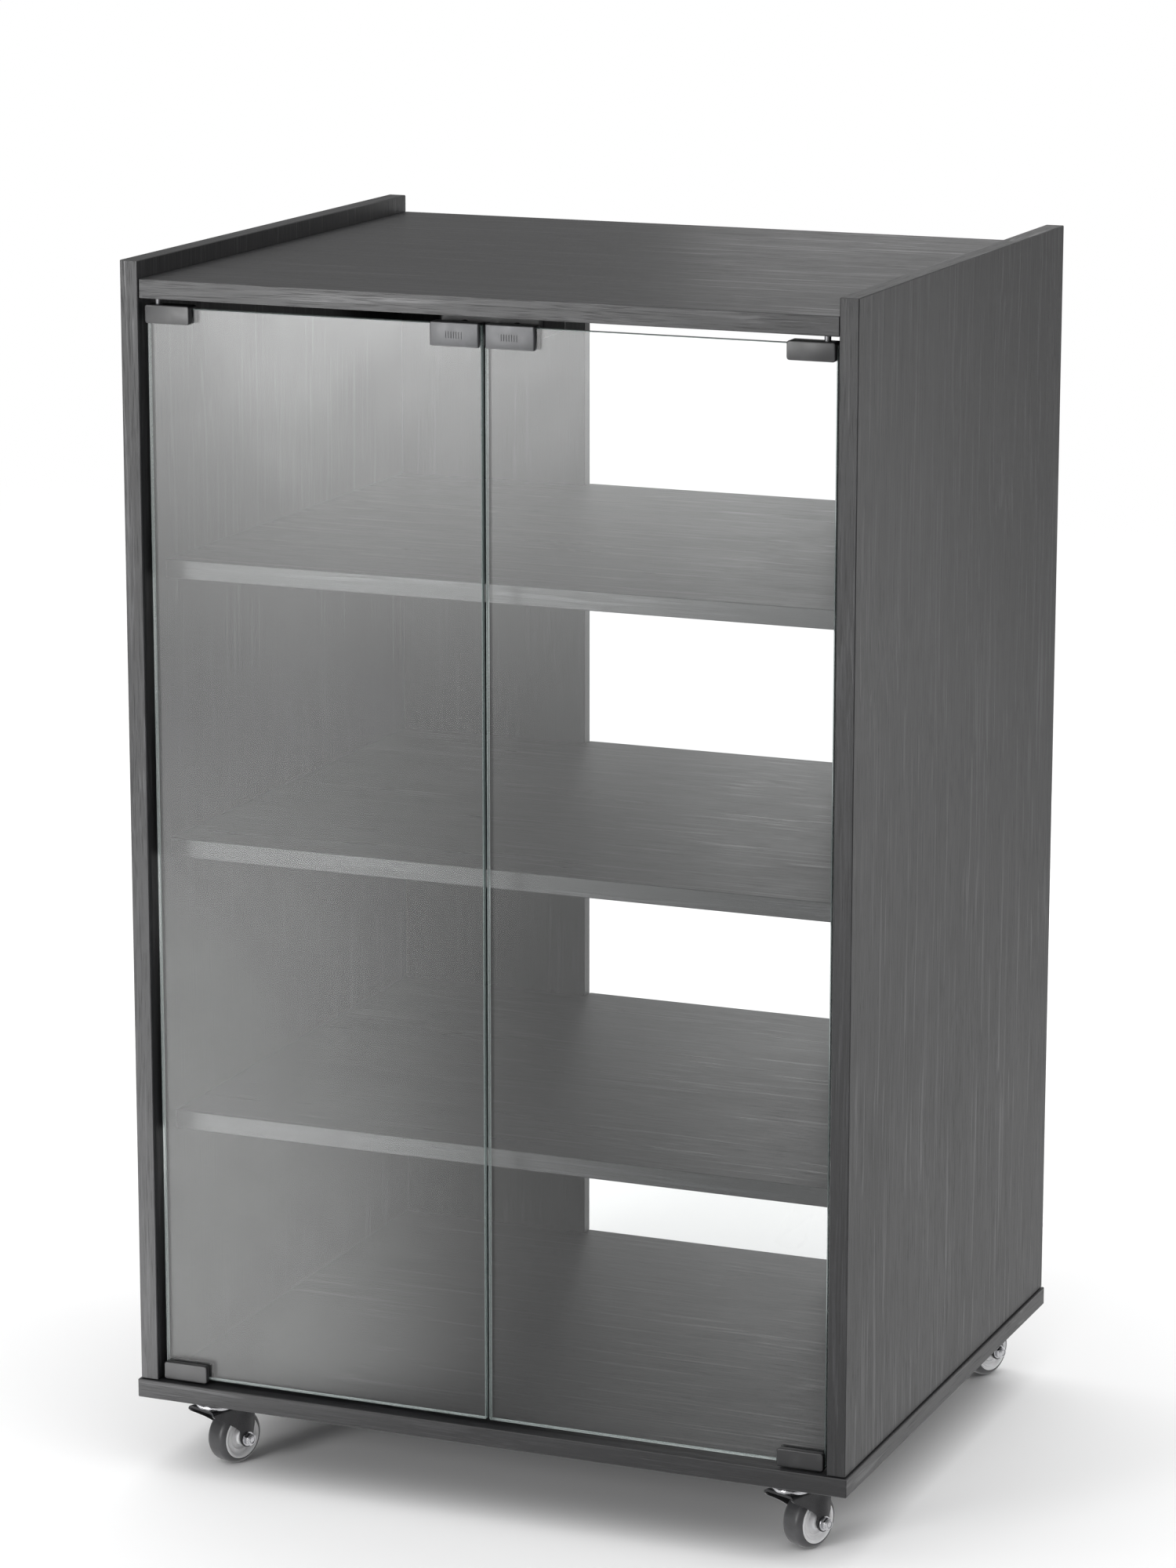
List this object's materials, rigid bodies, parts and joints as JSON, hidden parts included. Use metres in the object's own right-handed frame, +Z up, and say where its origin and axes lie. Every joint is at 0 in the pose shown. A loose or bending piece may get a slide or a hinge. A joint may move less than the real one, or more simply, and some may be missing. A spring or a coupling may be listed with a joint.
{
  "type": "media cabinet",
  "caption": "Open-backed media cabinet with fixed shelves, a pair of clear glass doors on pivot hinges, a push latch, raised sides and swivel castors.",
  "frame": {"origin": "on the floor, under the middle of the object's overall footprint", "axes": "+Z up, the doors face -Y, +X to the right seen from the front"},
  "size_m": [0.604, 0.5075, 0.979],
  "materials": {
    "ash_laminate": "black ash wood-grain laminate, satin",
    "door_glass": "clear tempered glass with ground edges",
    "hinge_metal": "black, satin",
    "pin_steel": "bright zinc plated",
    "nylon": "moulded black",
    "strike_metal": "dark grey, satin",
    "latch_plastic": "moulded black",
    "castor_metal": "black electroplated pressed steel",
    "axle_steel": "bright zinc plated",
    "castor_tyre": "dark grey thermoplastic rubber",
    "castor_hub": "moulded pale grey"
  },
  "bodies": {
    "cabinet": {"left_side_panel": "ash_laminate", "right_side_panel": "ash_laminate", "top_panel": "ash_laminate", "bottom_panel": "ash_laminate", "shelf_lower": "ash_laminate", "shelf_middle": "ash_laminate", "shelf_upper": "ash_laminate", "back_board_left": "ash_laminate", "back_board_right": "ash_laminate", "latch_body": "latch_plastic", "pivot_bush_left_upper": "nylon", "pivot_bush_left_lower": "nylon", "pivot_bush_right_upper": "nylon", "pivot_bush_right_lower": "nylon", "castor_front_left_plate": "castor_metal", "castor_front_right_plate": "castor_metal", "castor_rear_left_plate": "castor_metal", "castor_rear_right_plate": "castor_metal"},
    "door_left": {"door_glass_left": "door_glass", "door_strike_left": "strike_metal", "hinge_clamp_left_upper": "hinge_metal", "hinge_clamp_left_lower": "hinge_metal", "hinge_pin_left_upper": "pin_steel", "hinge_pin_left_lower": "pin_steel"},
    "plunger_left": {"latch_plunger_left": "nylon"},
    "door_right": {"door_glass_right": "door_glass", "door_strike_right": "strike_metal", "hinge_clamp_right_upper": "hinge_metal", "hinge_clamp_right_lower": "hinge_metal", "hinge_pin_right_upper": "pin_steel", "hinge_pin_right_lower": "pin_steel"},
    "plunger_right": {"latch_plunger_right": "nylon"},
    "fork_front_left": {"castor_front_left_fork": "castor_metal", "castor_front_left_axle": "axle_steel"},
    "wheel_front_left": {"castor_front_left_tyre": "castor_tyre", "castor_front_left_hub": "castor_hub"},
    "fork_front_right": {"castor_front_right_fork": "castor_metal", "castor_front_right_axle": "axle_steel"},
    "wheel_front_right": {"castor_front_right_tyre": "castor_tyre", "castor_front_right_hub": "castor_hub"},
    "fork_rear_left": {"castor_rear_left_fork": "castor_metal", "castor_rear_left_axle": "axle_steel"},
    "wheel_rear_left": {"castor_rear_left_tyre": "castor_tyre", "castor_rear_left_hub": "castor_hub"},
    "fork_rear_right": {"castor_rear_right_fork": "castor_metal", "castor_rear_right_axle": "axle_steel"},
    "wheel_rear_right": {"castor_rear_right_tyre": "castor_tyre", "castor_rear_right_hub": "castor_hub"}
  },
  "joints": [
    {"name": "door_left_hinge", "type": "hinge", "parent": "cabinet", "child": "door_left", "pos_m": [-0.2725, -0.2385, 0.5], "axis": [0, 0, -1], "range_deg": [0, 105]},
    {"name": "door_right_hinge", "type": "hinge", "parent": "cabinet", "child": "door_right", "pos_m": [0.2725, -0.2385, 0.5], "axis": [0, 0, 1], "range_deg": [0, 105]},
    {"name": "latch_plunger_left_slide", "type": "slide", "parent": "cabinet", "child": "plunger_left", "axis": [0, 1, 0], "range_m": [0, 0.003], "stiffness_N_per_m": 200},
    {"name": "latch_plunger_right_slide", "type": "slide", "parent": "cabinet", "child": "plunger_right", "axis": [0, 1, 0], "range_m": [0, 0.003], "stiffness_N_per_m": 200},
    {"name": "castor_front_left_swivel", "type": "hinge", "parent": "cabinet", "child": "fork_front_left", "pos_m": [-0.2475, -0.222, 0.055], "axis": [0, 0, 1], "continuous": true},
    {"name": "castor_front_left_roll", "type": "hinge", "parent": "fork_front_left", "child": "wheel_front_left", "pos_m": [-0.24033, -0.20333, 0.0225], "axis": [0.9336, -0.3584, 0], "continuous": true},
    {"name": "castor_front_right_swivel", "type": "hinge", "parent": "cabinet", "child": "fork_front_right", "pos_m": [0.2475, -0.222, 0.055], "axis": [0, 0, 1], "continuous": true},
    {"name": "castor_front_right_roll", "type": "hinge", "parent": "fork_front_right", "child": "wheel_front_right", "pos_m": [0.25467, -0.20333, 0.0225], "axis": [0.9336, -0.3584, 0], "continuous": true},
    {"name": "castor_rear_left_swivel", "type": "hinge", "parent": "cabinet", "child": "fork_rear_left", "pos_m": [-0.2475, 0.214, 0.055], "axis": [0, 0, 1], "continuous": true},
    {"name": "castor_rear_left_roll", "type": "hinge", "parent": "fork_rear_left", "child": "wheel_rear_left", "pos_m": [-0.24033, 0.23267, 0.0225], "axis": [0.9336, -0.3584, 0], "continuous": true},
    {"name": "castor_rear_right_swivel", "type": "hinge", "parent": "cabinet", "child": "fork_rear_right", "pos_m": [0.2475, 0.214, 0.055], "axis": [0, 0, 1], "continuous": true},
    {"name": "castor_rear_right_roll", "type": "hinge", "parent": "fork_rear_right", "child": "wheel_rear_right", "pos_m": [0.25467, 0.23267, 0.0225], "axis": [0.9336, -0.3584, 0], "continuous": true}
  ]
}
